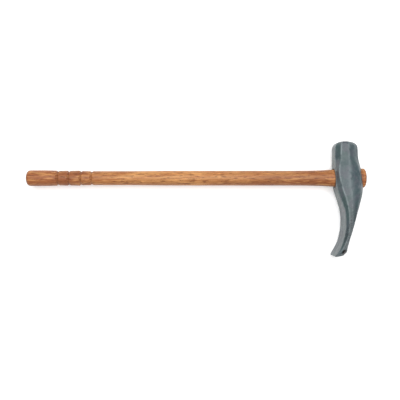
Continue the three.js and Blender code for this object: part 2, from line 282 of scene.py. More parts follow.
def head_sections(sizes, level):
    """Half section of the head at each level, measured from the handle's axis.

    Each quantity is a smooth curve through a few levels. Widths run along the handle; the corners
    of the section are shares of its width and of its half depth: inner flat, cheek from its start
    to the ridge, shoulder and outer flat. rise lifts the outer edge over the inner one.
    """
    crown_start = HEAD_HIGH.y - AXIS_Y - sizes.crown_height
    reach = AXIS_Y - HEAD_LOW.y
    poll, eye = sizes.poll_width, sizes.eye_width
    sweep, tip, thick = sizes.blade_sweep, sizes.tip_sweep, sizes.blade_thickness

    def lean(share):
        return sweep + (tip - sweep) * share

    # level, inner, outer, rise, inner flat, cheek start, ridge, shoulder, shoulder half, outer flat
    knots = np.array([
        (-reach, tip, tip + thick + 4.2 * MM, 2.4 * MM, 0.93, 0.12, 0.54, 0.88, 0.80, 0.50),
        (-0.97 * reach, lean(0.87), lean(0.87) + thick + 6.2 * MM, 3.4 * MM,
         0.93, 0.14, 0.56, 0.90, 0.82, 0.60),
        (-0.92 * reach, lean(0.65), lean(0.65) + thick + 3.4 * MM, 4.4 * MM,
         0.90, 0.22, 0.62, 0.92, 0.84, 0.66),
        (-0.84 * reach, lean(0.37), lean(0.37) + thick + 0.4 * MM, 4.0 * MM,
         0.83, 0.34, 0.72, 0.93, 0.86, 0.68),
        (-0.69 * reach, 0.93 * sweep, 0.93 * sweep + thick, 2.0 * MM,
         0.81, 0.36, 0.78, 0.93, 0.88, 0.68),
        (-0.53 * reach, sweep, sweep + 1.45 * thick, 0.5 * MM, 0.80, 0.26, 0.68, 0.92, 0.88, 0.68),
        (-0.40 * reach, 0.88 * sweep, eye - 9.1 * MM, 0, 0.76, 0.20, 0.58, 0.88, 0.86, 0.66),
        (-0.27 * reach, 0.53 * sweep, eye - 3.9 * MM, 0, 0.66, 0.20, 0.55, 0.86, 0.86, 0.60),
        (-0.15 * reach, 0.20 * sweep, eye - 0.8 * MM, 0, 0.58, 0.16, 0.52, 0.86, 0.86, 0.52),
        (-0.03 * reach, 0.5 * MM, eye, 0, 0.56, 0.12, 0.52, 0.87, 0.84, 0.45),
        (0.3 * crown_start, 0, poll + 0.64 * (eye - poll), 0, 0.52, 0.09, 0.53, 0.86, 0.80, 0.40),
        (0.7 * crown_start, 0, poll + 0.6 * MM, 0, 0.53, 0.19, 0.57, 0.84, 0.66, 0.33),
        (crown_start, 0, poll, 0, 0.53, 0.21, 0.57, 0.83, 0.66, 0.33),
    ])
    names = ("inner", "outer", "rise", "inner_flat", "cheek_start", "ridge", "shoulder",
             "shoulder_half", "outer_flat")
    at = np.clip(level, -reach, crown_start)
    section = {name: curve_through(at, knots[:, 0], knots[:, k + 1]) for k, name in enumerate(names)}
    cheek_half = (HEAD_HIGH.z - HEAD_LOW.z) / 2
    poll_half = sizes.poll_depth / 2
    opening = smooth_step((at - 0.25 * crown_start) / (0.5 * crown_start))
    half = cheek_half + (poll_half - cheek_half) * opening
    from_corner = np.clip(sizes.tip_corner - (at + reach), 0, None)
    section["half"] = half - sizes.tip_corner + np.sqrt(sizes.tip_corner ** 2 - from_corner ** 2)
    return section


def head_planes(section):
    """Outward normals and distances from the section's middle of its ten sides, as arrays (..., 10)."""
    width = section["outer"] - section["inner"]
    half = section["half"]
    zero = np.zeros_like(width)
    along = [zero, section["cheek_start"] * width, section["ridge"] * width,
             section["shoulder"] * width, width]
    across = [section["inner_flat"] * half, half, half, section["shoulder_half"] * half,
              section["outer_flat"] * half]
    corners_u = np.stack([along[0], *along, *along[::-1]], axis=-1)
    corners_v = np.stack([-across[0], *across, *[-a for a in across[::-1]]], axis=-1)
    du = np.diff(corners_u, axis=-1)
    dv = np.diff(corners_v, axis=-1)
    size = np.hypot(du, dv)
    normal_u, normal_v = -dv / size, du / size
    middle = width / 2
    distance = (corners_u[..., :-1] - middle[..., None]) * normal_u + corners_v[..., :-1] * normal_v
    return normal_u, normal_v, distance


def gauge(planes, u, v, crispness):
    """1 on the section's softly rounded outline, less inside: the power mean of how far (u, v) reaches
    towards each side, as a share of that side's distance."""
    normal_u, normal_v, distance = planes
    reach = (normal_u * u[..., None] + normal_v * v[..., None]) / distance
    return (np.clip(reach, 1e-6, None) ** crispness).sum(axis=-1) ** (1 / crispness)


def low_spots(points, seed=7, waves=26):
    """0 to 1 all over a forging: plane waves of 9 to 45 mm in seeded random directions, added up."""
    rng = np.random.default_rng(seed)
    direction = rng.normal(size=(waves, 3))
    direction /= np.linalg.norm(direction, axis=1, keepdims=True)
    wavelength = np.geomspace(45, 9, waves) * MM
    phase = rng.uniform(0, 2 * math.pi, waves)
    weight = np.geomspace(1, 0.22, waves)
    height = np.zeros(points.shape[:-1])
    for k in range(waves):
        height += weight[k] * np.sin(points @ direction[k] * 2 * math.pi / wavelength[k] + phase[k])
    return 0.5 + 0.5 * np.tanh(0.6 * height)


def head_mesh(sizes):
    """Ten-sided sections with soft corners carried down the head, closed by a crown and a rounded end.

    The crown draws its section in by the 0.72 power of a cosine while it rises as a superellipse; across
    the handle it draws in more slowly. The tip's edge is a quarter circle that ends in a flat."""
    crown_start = HEAD_HIGH.y - AXIS_Y - sizes.crown_height
    reach = AXIS_Y - HEAD_LOW.y
    around = 216
    crown_turn = np.linspace(0.985, 0.03, 30) * math.pi / 2
    share = np.linspace(0, 1, 190)
    body = crown_start - (crown_start + reach - sizes.tip_edge) * (share + 0.02 * np.sin(2 * np.pi * share))
    edge_turn = np.linspace(0.1, 1, 10) * math.pi / 2
    flat = np.linspace(0.9, 0.05, 9)
    crown = slice(0, len(crown_turn))
    edge = slice(len(crown_turn) + len(body), len(crown_turn) + len(body) + len(edge_turn))
    end = slice(edge.stop, edge.stop + len(flat))

    # level of each ring's section
    level = np.concatenate([np.full(len(crown_turn), crown_start), body,
                            np.full(len(edge_turn) + len(flat), -reach + sizes.tip_edge)])
    section = head_sections(sizes, level)
    angle = np.linspace(0, 2 * math.pi, around, endpoint=False)
    width = section["outer"] - section["inner"]
    u = -np.cos(angle)[None, :] * width[:, None] / 2
    v = np.sin(angle)[None, :] * section["half"][:, None]
    spread = tuple(plane[:, None, :] for plane in head_planes(section))
    grown = 1 / gauge(spread, u, v, sizes.crispness)
    u, v = u * grown * (1 + sizes.corner_fill / (width[:, None] / 2)), v * grown

    # how much each ring is drawn in, how far it stands past its level and off the section's middle
    size_u, size_v = np.ones(len(level)), np.ones(len(level))
    drop, off_middle = np.zeros(len(level)), np.zeros(len(level))
    size_u[crown] = np.cos(crown_turn) ** 0.72
    size_v[crown] = 1 - (1 - size_u[crown]) ** 2
    drop[crown] = sizes.crown_height * (1 - size_u[crown] ** 2.8) ** 0.48
    off_middle[crown] = -1.0 * MM * (1 - size_u[crown])
    inset = sizes.tip_edge * (1 - np.cos(edge_turn))
    size_u[edge] = 1 - inset / (width[edge] / 2)
    size_v[edge] = 1 - inset / section["half"][edge]
    drop[edge] = -sizes.tip_edge * np.sin(edge_turn)
    size_u[end] = size_u[edge][-1] * flat
    size_v[end] = size_v[edge][-1] * flat
    drop[end] = -sizes.tip_edge

    u, v = u * size_u[:, None], v * size_v[:, None]
    share_out = (u + width[:, None] / 2) / width[:, None]
    points = np.stack([
        face_x(sizes) + section["inner"][:, None] + width[:, None] / 2 + off_middle[:, None] + u,
        AXIS_Y + level[:, None] + drop[:, None] + section["rise"][:, None] * share_out,
        AXIS_Z + v,
    ], axis=-1)
    inward = np.stack([-u, np.zeros_like(u), -v], axis=-1)
    inward /= np.linalg.norm(inward, axis=-1, keepdims=True) + 1e-9
    depth = sizes.unevenness * (low_spots(points)[..., None] - 0.5)
    points += inward * depth * size_u[:, None, None]
    points[..., 2] = np.clip(points[..., 2], HEAD_LOW.z, HEAD_HIGH.z)
    return closed_tube("hammer_head", points)


def head_gauge_at(sizes, points):
    """The section's gauge at any points, and how far each point is from reaching a second side."""
    section = head_sections(sizes, points[:, 1] - AXIS_Y)
    width = section["outer"] - section["inner"]
    share = np.clip((points[:, 0] - face_x(sizes) - section["inner"]) / width, 0, 1)
    section = head_sections(sizes, points[:, 1] - AXIS_Y - section["rise"] * share)
    width = section["outer"] - section["inner"]
    u = points[:, 0] - face_x(sizes) - section["inner"] - width / 2
    v = points[:, 2] - AXIS_Z
    planes = head_planes(section)
    normal_u, normal_v, distance = planes
    reach = np.sort((normal_u * u[:, None] + normal_v * v[:, None]) / distance, axis=1)
    return gauge(planes, u, v, sizes.crispness), reach[:, -1] - reach[:, -2]


def head_surface_x(sizes, y, z, side):
    """Where a line along the handle at (y, z) leaves the head, on the grip side (-1) or the far side (1),
    found by halving the stretch that holds it."""
    middle = face_x(sizes) + sizes.eye_width / 2
    near = np.full_like(y, middle)
    far = np.full_like(y, middle + side * sizes.eye_width)
    for _ in range(24):
        probe = (near + far) / 2
        outside = head_gauge_at(sizes, np.stack([probe, y, z], axis=-1))[0] > 1
        far = np.where(outside, probe, far)
        near = np.where(outside, near, probe)
    return (near + far) / 2


def head_paint_masks(sizes, points):
    """Shares from 0 to 1 for the paint at each vertex: the ridges, which carry a painted highlight that
    also reads as paint worn thin, and chips knocked off them; knocked off at the tip and at one corner;
    and flaky scale on the blade's outer side."""
    gauged, gap = head_gauge_at(sizes, points)
    below = AXIS_Y - points[:, 1]
    across = (points[:, 0] - face_x(sizes)) / sizes.eye_width
    blade = smooth_step((below - 25 * MM) / (55 * MM))
    tip = smooth_step((HEAD_LOW.y + 3.5 * MM - points[:, 1]) / (3.0 * MM))
    knocked_corner = np.array([face_x(sizes) + sizes.blade_thickness + 2.6 * MM,
                               HEAD_LOW.y + 7.6 * MM, HEAD_HIGH.z - 2 * MM])
    from_corner = np.linalg.norm((points - knocked_corner) / (1, 1.25, 1.3), axis=1)
    knocked = smooth_step((9.0 * MM - from_corner) / (7.0 * MM))
    ridge = np.exp(-(gap / 0.05) ** 2) * (gauged > 0.9)
    outer_from = 0.44 - 0.26 * smooth_step((below - 60 * MM) / (65 * MM))
    return {
        # The ridge mask is stronger on the grip side and weaker down the blade, where the painted highlight
        # falls; the chips knocked off the ridges use it too.
        "edge": ridge * (1 - 0.6 * smooth_step((across - 0.3) / 0.3)) * (1 - 0.4 * blade),
        "worked": np.clip(0.5 * tip + knocked, 0, 1),
        "scale": smooth_step((across - outer_from) / 0.1) * blade,
    }


# ------------------------------------------------------------------ the handle's form

GROOVES = [HANDLE_LOW.x + centre * MM for centre in (56.2, 75.4, 96.8, 115.4)]


def eye_ovals(sizes, head, x):
    """Half height and half depth of the handle's oval inside the eye: eased from the mouth down to
    a narrow waist and out again to the spread end."""
    mouth_x = face_x(head) + 2 * MM
    waist_x = face_x(head) + 0.42 * head.eye_width
    exit_x = face_x(head) + head.eye_width - 2 * MM
    into = smooth_step((x - mouth_x) / (waist_x - mouth_x))
    out = smooth_step((x - waist_x) / (exit_x - waist_x))
    height = sizes.mouth_height + (sizes.waist_height - sizes.mouth_height) * into
    height = height + (sizes.exit_height - sizes.waist_height) * out
    depth = sizes.mouth_depth + (sizes.waist_depth - sizes.mouth_depth) * into
    depth = depth + (sizes.exit_depth - sizes.waist_depth) * out
    return height / 2, depth / 2


def groove_profile(sizes, x):
    """0 to 1 across the grooves: a V whose bottom and lips are rounded by small hyperbolas."""
    deep = np.zeros_like(x)
    for centre in GROOVES:
        t = (x - centre) / (sizes.groove_width / 2)
        ridge = 1 - np.sqrt(t * t + 0.03)
        deep = np.maximum(deep, (ridge + np.sqrt(ridge * ridge + 0.02)) / 2)
    return deep / deep.max()


def handle_ovals(sizes, head, x):
    """Half height and half depth of the handle all along: turned barrels and grooves, a slim waist,
    the shaft, a flare into the mouth of the eye, and the ovals inside it. The turned part is straight
    lines between diameters, averaged over nine neighbouring stations."""
    start = HANDLE_LOW.x
    last = GROOVES[-1]
    mouth_x = face_x(head) + 2 * MM
    stretch = mouth_x - last
    knots = [start, start + 34 * MM, GROOVES[0] - 4 * MM, GROOVES[0] + 4 * MM, GROOVES[1] - 3 * MM,
             GROOVES[1] + 4 * MM, GROOVES[2] - 3 * MM, GROOVES[2] + 4 * MM, last + 4 * MM,
             last + 0.17 * stretch, last + 0.3 * stretch, last + 0.8 * stretch, mouth_x]
    turned = [sizes.grip, sizes.grip, sizes.grip_end, sizes.barrel - 0.3 * MM, sizes.barrel + 0.3 * MM,
              sizes.barrel - 0.2 * MM, sizes.barrel + 0.5 * MM, sizes.waist + 0.3 * MM, sizes.waist,
              sizes.waist, sizes.shaft - 0.2 * MM, sizes.shaft, sizes.shaft]
    radius = np.interp(x, knots, turned) / 2
    window = np.hanning(9)
    radius = np.convolve(np.pad(radius, len(window) // 2, mode="edge"), window / window.sum(), mode="valid")
    radius = radius - sizes.groove_depth * groove_profile(sizes, x)
    swell = np.clip((x - last - 0.8 * stretch) / (0.2 * stretch), 0, 1) ** 2.8
    height, depth = eye_ovals(sizes, head, x)
    inside = x > mouth_x
    outer_height = radius + (sizes.mouth_height / 2 - radius) * swell
    outer_depth = radius + (sizes.mouth_depth / 2 - radius) * swell
    return np.where(inside, height, outer_height), np.where(inside, depth, outer_depth)


def handle_masks(sizes, head, x):
    """Shares from 0 to 1 for the wood at each vertex: painted shade in the grooves and at the eye's
    mouth, end grain at both ends, and the redder stretches."""
    butt = smooth_step((HANDLE_LOW.x + 5 * MM - x) / (5 * MM))
    end = smooth_step((x - HANDLE_HIGH.x + 0.8 * sizes.end_crown) / (0.6 * sizes.end_crown))
    mouth = smooth_step((x - face_x(head) + 1.5 * MM) / (2 * MM)) * (x < HEAD_HIGH.x + 1 * MM)
    share = (x - HANDLE_LOW.x) / (HANDLE_HIGH.x - HANDLE_LOW.x)
    return {
        # painted shade: darker at the grooves' bottoms and where the handle goes into the eye
        "painted_shade": np.clip(groove_profile(sizes, x) ** 2 + mouth, 0, 1),
        "end_grain": np.clip(butt + end, 0, 1),
        "red": np.interp(share, (0, 0.12, 0.3, 0.45, 0.7, 0.95), (1, 1, 0, 0, 0.45, 0.7)),
    }


def end_crown_size(sizes, x):
    """Share of the oval left on the crowned end: a superellipse over the crown's length."""
    out = np.clip((x - (HANDLE_HIGH.x - sizes.end_crown)) / sizes.end_crown, 0, 1)
    return (1 - out ** 2.5) ** 0.4


def end_crown_x(sizes, y, z):
    """The crowned end's surface over a point of its oval."""
    share = np.hypot((y - AXIS_Y) / (sizes.exit_height / 2), (z - AXIS_Z) / (sizes.exit_depth / 2))
    out = (1 - np.clip(share, 0, 1) ** 2.5) ** 0.4
    return HANDLE_HIGH.x - sizes.end_crown * (1 - out)


def handle_blank(sizes, head, name="handle"):
    """Ovals square to the handle's axis, from the rounded butt to the crowned end."""
    butt = 8 * MM
    turn = np.linspace(0.03, 1, 22) * math.pi / 2
    butt_x = HANDLE_LOW.x + butt * (1 - np.cos(turn) ** (2 / 2.7))
    butt_size = np.sin(turn) ** (2 / 2.7)
    grip_x = np.arange(butt_x[-1] + 0.6 * MM, GROOVES[-1] + 10 * MM, 0.45 * MM)
    shaft_x = np.arange(grip_x[-1] + 2 * MM, HANDLE_HIGH.x - sizes.end_crown, 2 * MM)
    crown_x = HANDLE_HIGH.x - sizes.end_crown * (1 - np.sin(turn) ** (2 / 2.5))
    crown_x = crown_x[:-1]
    x = np.concatenate([butt_x, grip_x, shaft_x, crown_x])
    size = np.concatenate([butt_size, np.ones(len(grip_x) + len(shaft_x)), end_crown_size(sizes, crown_x)])
    height, depth = handle_ovals(sizes, head, x)
    angle = np.linspace(0, 2 * math.pi, 112, endpoint=False)
    rings = np.stack([
        np.repeat(x[:, None], len(angle), axis=1),
        AXIS_Y + (height * size)[:, None] * np.cos(angle),
        AXIS_Z + (depth * size)[:, None] * np.sin(angle),
    ], axis=-1)
    return closed_tube(name, rings)


def eye_cutter(sizes, head):
    """The eye as a closed plug: the handle's ovals with clearance, opening out at both mouths in a
    quarter of an ellipse that follows the head's own surface, then straight on past it."""
    angle = np.linspace(0, 2 * math.pi, 112, endpoint=False)
    cosine, sine = np.cos(angle), np.sin(angle)
    flare_turn = np.linspace(0.88, 0, 9)
    flare_width = 0.75 * head.eye_flare
    widening = flare_width * (1 - np.sqrt(1 - flare_turn ** 2))
    past = 4 * MM
    past_slope = 1.4

    def ring(x, widened):
        height, depth = eye_ovals(sizes, head, x)
        return np.stack([x, AXIS_Y + (height + sizes.clearance + widened) * cosine,
                         AXIS_Z + (depth + sizes.clearance + widened) * sine], axis=-1)

    def surface(side):
        """Where the eye's wall meets the head's surface: the grip side (-1) or the far side (1)."""
        guess = face_x(head) + (head.eye_width if side > 0 else 0)
        height, depth = eye_ovals(sizes, head, np.full(1, guess))
        return head_surface_x(head, AXIS_Y + (height + sizes.clearance) * cosine,
                              AXIS_Z + (depth + sizes.clearance) * sine, side)

    def mouth(at, side):
        """Rings from past the head's surface to the inner end of the rounding."""
        outside = ring(at + side * past, widening[0] + past_slope * past)
        return [outside, *(ring(at - side * head.eye_flare * (1 - turn), wide)
                           for turn, wide in zip(flare_turn, widening))]

    near, far = surface(-1), surface(1)
    start = near + head.eye_flare
    length_inside = far - head.eye_flare - start
    inside = [ring(start + share * length_inside, 0) for share in np.linspace(0.06, 0.94, 14)]
    return closed_tube("eye_cutter", np.array([*mouth(near, -1), *inside, *mouth(far, 1)[::-1]]))


# ------------------------------------------------------------------ the wedges' forms

def wood_wedge_block(wedge, handle, grow=0.0):
    """A slab through the oval's full height, tapering towards the grip."""
    root = HANDLE_HIGH.x - wedge.wood_length
    back = HANDLE_HIGH.x + 2 * MM
    slope = (wedge.wood_thickness - wedge.wood_root) / wedge.wood_length
    x = np.array([root - grow, back])
    half = (wedge.wood_root + slope * (x - root)) / 2 + grow
    corners = np.array([(1, -1), (1, 1), (-1, 1), (-1, -1)])
    rings = np.stack([np.repeat(x[:, None], 4, axis=1),
                      AXIS_Y + np.repeat(corners[None, :, 0], 2, axis=0) * handle.exit_height,
                      AXIS_Z + corners[None, :, 1] * half[:, None]], axis=-1)
    return closed_tube("wood_wedge_block", rings)


def soft_rectangle():
    """Unit rectangle with rounded corners, as two arrays around it: a superellipse of power nine."""
    angle = np.linspace(0, 2 * math.pi, 64, endpoint=False)
    corner = 9
    soft = (np.abs(np.cos(angle)) ** corner + np.abs(np.sin(angle)) ** corner) ** (-1 / corner)
    return np.cos(angle) * soft, np.sin(angle) * soft


def steel_wedge_rings(wedge, side, grow=0.0):
    """Rounded rectangles tapering towards the grip, from the buried edge to just below the back."""
    unit_y, unit_z = soft_rectangle()
    back = HANDLE_HIGH.x - 1.6 * MM
    root = back - wedge.steel_length
    slope = (wedge.steel_thickness - wedge.steel_edge) / wedge.steel_length
    along = np.linspace(root - grow, back - 3 * MM, 13)
    half_y = (wedge.steel_edge + slope * (along - root)) / 2 + grow
    half_z = wedge.steel_width / 2 + grow
    return np.stack([np.repeat(along[:, None], len(unit_y), axis=1),
                     AXIS_Y + side * wedge.spacing / 2 + half_y[:, None] * unit_y,
                     AXIS_Z + np.repeat(half_z * unit_z[None, :], len(along), axis=0)], axis=-1)


def steel_wedge_mesh(wedge, handle, side):
    """The wedge, its back following the handle's crown, with a rim rounded over by the hammer."""
    unit_y, unit_z = soft_rectangle()
    middle = AXIS_Y + side * wedge.spacing / 2
    sizes = np.array([1, 1, 0.985, 0.93, 0.8, 0.6, 0.4, 0.2, 0.08])
    lift = np.array([-0.6, -0.12, 0, 0.08, 0.1, 0.1, 0.1, 0.1, 0.1]) * MM
    sunk = 0.15 * MM
    y = middle + sizes[:, None] * wedge.steel_thickness / 2 * unit_y
    z = AXIS_Z + sizes[:, None] * wedge.steel_width / 2 * unit_z
    x = end_crown_x(handle, y, z) - sunk + lift[:, None]
    x[:3] = end_crown_x(handle, y[0], z[0])[None, :] - sunk + lift[:3, None]
    return closed_tube("steel_wedge", np.concatenate([steel_wedge_rings(wedge, side),
                                                      np.stack([x, y, z], axis=-1)]))


def steel_slot_mesh(wedge, side):
    """The slot that a steel wedge is driven into, running straight on past the handle's end."""
    unit_y, unit_z = soft_rectangle()
    shares = np.array([1.0, 0.5])[:, None]
    past = np.stack([
        np.full((2, len(unit_y)), HANDLE_HIGH.x + 4 * MM),
        AXIS_Y + side * wedge.spacing / 2 + shares * (wedge.steel_thickness / 2 + wedge.slot_gap) * unit_y,
        AXIS_Z + shares * (wedge.steel_width / 2 + wedge.slot_gap) * unit_z], axis=-1)
    return closed_tube("steel_slot", np.concatenate([steel_wedge_rings(wedge, side, wedge.slot_gap), past]))


# ------------------------------------------------------------------ node trees

class Wire:
    """What leaves a shader socket. Arithmetic on it adds Math nodes, so it is used on numbers only."""

    def __init__(self, tree, socket):
        self.tree = tree
        self.socket = socket

    def maths(self, operation, *values):
        """A Math node on wires and plain numbers."""
        return self.tree.node("ShaderNodeMath", {"operation": operation}, dict(enumerate(values)))

    def __add__(self, other):
        return self.maths("ADD", self, other)

    def __radd__(self, other):
        return self.maths("ADD", other, self)

    def __sub__(self, other):
        return self.maths("SUBTRACT", self, other)

    def __rsub__(self, other):
        return self.maths("SUBTRACT", other, self)

    def __mul__(self, other):
        return self.maths("MULTIPLY", self, other)

    def __rmul__(self, other):
        return self.maths("MULTIPLY", other, self)

    def __pow__(self, other):
        return self.maths("POWER", self, other)

    def sine(self):
        return self.maths("SINE", self)

    def larger(self, other):
        return self.maths("MAXIMUM", self, other)

    def step(self, low, high):
        """0 below low, 1 above high, eased between; the other way round if low is above high."""
        return self.tree.node("ShaderNodeMapRange", {"interpolation_type": "SMOOTHSTEP"},
                              {"Value": self, "From Min": low, "From Max": high})


class Finish:
    """One material's node tree."""

    def __init__(self, name):
        self.material = bpy.data.materials.new(name)
        self.material.use_nodes = True
        self.nodes = self.material.node_tree.nodes
        self.links = self.material.node_tree.links
        self.nodes.clear()

    def node(self, kind, settings=None, sockets=None, out=0):
        """Adds a node: its settings first, then values or links for its sockets; gives one output."""
        node = self.nodes.new(kind)
        for key, value in (settings or {}).items():
            setattr(node, key, value)
        for key, value in (sockets or {}).items():
            socket = self.find(node.inputs, key)
            if isinstance(value, Wire):
                self.links.new(value.socket, socket)
            else:
                socket.default_value = value
        return Wire(self, self.find(node.outputs, out))

    @staticmethod
    def find(sockets, key):
        """The socket with a number, or the first one in use with a name."""
        if isinstance(key, int):
            return sockets[key]
        return next(s for s in sockets if s.enabled and key in (s.name, s.identifier))

    def place(self, scale=(1, 1, 1), turn=(0, 0, 0), shift=(0, 0, 0)):
        """Object coordinates measured from the handle's axis, turned and scaled."""
        coordinates = self.node("ShaderNodeTexCoord", out="Object")
        centred = self.node("ShaderNodeMapping", {}, {
            "Vector": coordinates, "Location": (shift[0], shift[1] - AXIS_Y, shift[2] - AXIS_Z)})
        return self.node("ShaderNodeMapping", {}, {"Vector": centred, "Rotation": turn, "Scale": scale})

    def noise(self, vector, scale=1.0, detail=2.0, roughness=0.5, distortion=0.0):
        """Smooth noise of about 0.2 to 0.8, with scale bumps to the metre."""
        return self.node("ShaderNodeTexNoise", {}, {
            "Vector": vector, "Scale": scale, "Detail": detail, "Roughness": roughness,
            "Distortion": distortion})

    def mix(self, share, first, second):
        """A colour between two colours."""
        def rgba(shade):
            return shade if isinstance(shade, Wire) else (*shade, 1.0)
        return self.node("ShaderNodeMix", {"data_type": "RGBA"}, {
            "Factor_Float": share, "A_Color": rgba(first), "B_Color": rgba(second)}, "Result_Color")

    def axes(self, vector):
        """The three numbers of a vector."""
        first = self.node("ShaderNodeSeparateXYZ", {}, {"Vector": vector})
        return [Wire(self, output) for output in first.socket.node.outputs]

    def attribute(self, name):
        """A number that the piece keeps for each vertex."""
        return self.node("ShaderNodeAttribute", {"attribute_name": name}, out="Fac")

    def bump(self, height, distance, below=None):
        """A normal from a height, over the normal of a coarser bump if there is one."""
        sockets = {"Height": height, "Distance": distance, "Strength": 1.0}
        if below is not None:
            sockets["Normal"] = below
        return self.node("ShaderNodeBump", {}, sockets)

    def surface(self, sockets):
        """Ends the tree in a Principled shader."""
        shader = self.node("ShaderNodeBsdfPrincipled", {}, sockets)
        output = self.nodes.new("ShaderNodeOutputMaterial")
        self.links.new(shader.socket, output.inputs["Surface"])
        return self.material


def enamel_finish(colours):
    """Glossy paint over a forging: drifting grey shades, orange peel and shallow dents, a painted
    highlight along the ridges that also reads as paint worn thin, dark flaky scale, and bare iron
    where it is knocked off."""
    paint = Finish("head_enamel")
    here = paint.place()
    edge = paint.attribute("edge")
    broad = paint.noise(here, 26, 2.0)
    patches = paint.noise(here, 75, 3.0)
    scale = paint.attribute("scale")
    flakes = paint.noise(here, 360, 3.0, 0.7)
    fine = paint.noise(here, 420, 3.0, 0.6)
    shade = paint.mix(broad.step(0.38, 0.6), tuple(colours.enamel), tuple(colours.enamel_green))
    shade = paint.mix(patches.step(0.46, 0.62) * 0.85, shade, tuple(colours.enamel_violet))
    dusty = paint.noise(paint.place(shift=(0.3, 0.1, 0)), 210, 4.0, 0.65).step(0.45, 0.8)
    shade = paint.mix(dusty * 0.35, shade, tuple(colours.enamel_dusty))
    knocks = (edge * 0.5 + paint.noise(here, 260, 4.0, 0.7)).step(1.16, 1.24)
    worn = (paint.attribute("worked") + paint.noise(here, 260, 4.0, 0.7) * 1.4).step(1.36, 1.44)
    bare = knocks.larger(worn)
    shade = paint.mix(scale * flakes.step(0.42, 0.54) * 0.85, shade, tuple(colours.scale_dark))
    shade = paint.mix(scale * flakes.step(0.42, 0.34) * 0.35, shade, tuple(colours.scale_pale))
    # Painted highlight: paler paint along the ridges, broken up by noise, standing in for the edge
    # reflection; it also reads as paint worn thin.
    highlighted = edge * paint.noise(here, 90, 2.0).step(0.25, 0.55) * 0.9
    shade = paint.mix(highlighted, shade, tuple(colours.enamel_ridge_highlight))
    shade = paint.mix(bare, shade, tuple(colours.bare_iron))
    roughness = 0.34 + patches * 0.16 + fine * 0.08 - bare * 0.1
    dents = paint.bump(paint.noise(here, 62, 2.0) + paint.noise(here, 150, 2.0) * 0.3, 1.5 * MM)
    texture = paint.noise(here, 700, 1.0) * 0.12 + scale * flakes + bare * (flakes - 1.0)
    return paint.surface({
        "Base Color": shade,
        "Roughness": roughness,
        "Metallic": bare * 0.3,
        "Coat Weight": 0.26 - bare * 0.1,
        "Coat Roughness": 0.12,
        "Specular IOR Level": 0.3,
        "Normal": paint.bump(texture, 0.5 * MM, dents),
    })


def grain_finish(name, pale, middle, dark, varnish=1.0, tint=None):
    """Hardwood: growth layers round a pith outside the piece, streaks, pale and dark flames, short dark
    pores, painted shade in the grooves and at the eye's mouth, and darker end grain. tint reddens the
    low side, partly as painted shade away from the key light and partly as redder heartwood, and the
    red stretches."""
    wood = Finish(name)
    sway = wood.noise(wood.place((5, 22, 22)), 1, 2.0)
    here = wood.place(turn=(0, math.radians(1.6), math.radians(-2.2)))
    bend = 12 * MM
    warped = wood.node("ShaderNodeVectorMath", {"operation": "MULTIPLY_ADD"}, {
        0: wood.node("ShaderNodeCombineXYZ", {}, {"X": 0.0, "Y": sway, "Z": sway * -0.7}),
        1: (bend, bend, bend), 2: here})
    _, height, depth = wood.axes(warped)
    pith_below, pith_behind = 21 * MM, 34 * MM
    layer_spacing = 3.6 * MM
    from_pith = ((height + pith_below) ** 2.0 + (depth + pith_behind) ** 2.0) ** 0.5
    layers = (from_pith * (2 * math.pi / layer_spacing)).sine()
    late = (layers * 0.5 + 0.5) ** 1.6
    streak = wood.noise(wood.place((9, 240, 240)), 1, 4.0, 0.62)
    fibre = wood.noise(wood.place((32, 1300, 1300)), 1, 3.0, 0.6)
    flame = wood.noise(wood.place((70, 380, 380), shift=(0.13, 0, 0)), 1, 3.0, 0.62, 0.8)
    blond = wood.noise(wood.place((34, 280, 280), shift=(0.31, 0.02, 0)), 1, 3.0, 0.6, 0.8)
    pores = wood.noise(wood.place((170, 1500, 1500)), 1, 2.0, 0.5)
    drift = wood.noise(wood.place((7, 7, 7), shift=(0.05, 0, 0)), 1, 1.0)
    shade = wood.mix(late * 0.55 + streak.step(0.35, 0.7) * 0.45, pale, middle)
    if tint is not None:
        # Redder and darker towards the low side, away from the key light: partly painted shade, partly
        # redder heartwood.
        side = (height + sway * bend).step(10 * MM, -6 * MM)
        shade = wood.mix(side * 0.6, shade, tint)
        shade = wood.mix(wood.attribute("red") * 0.85, shade, tint)
    shade = wood.mix(blond.step(0.48, 0.64) * 0.6, shade, tuple(min(1.3 * channel, 1.0) for channel in pale))
    shade = wood.mix(flame.step(0.5, 0.66) * 0.7, shade, dark)
    shade = wood.mix(fibre.step(0.45, 0.75) * 0.35, shade, middle)
    shade = wood.mix(drift.step(0.4, 0.62) * 0.26, shade, dark)
    pore = pores.step(0.63, 0.70) * (0.45 + late * 0.4)
    shade = wood.mix(pore, shade, tuple(0.32 * channel for channel in dark))
    shade = wood.mix(wood.attribute("end_grain") * 0.72, shade, tuple(0.6 * channel for channel in dark))
    # Painted shade: darker in the grooves and at the eye's mouth.
    shade = wood.mix(wood.attribute("painted_shade") * 0.35, shade, tuple(0.45 * channel for channel in dark))
    relief = fibre * 0.5 - pore * 0.9 + late * 0.25
    return wood.surface({
        "Base Color": shade,
        "Roughness": 0.5 + fibre * 0.14 + pore * 0.2,
        "Coat Weight": 0.16 * varnish,
        "Coat Roughness": 0.3,
        "Specular IOR Level": 0.3,
        "Normal": wood.bump(relief, 0.07 * MM),
    })


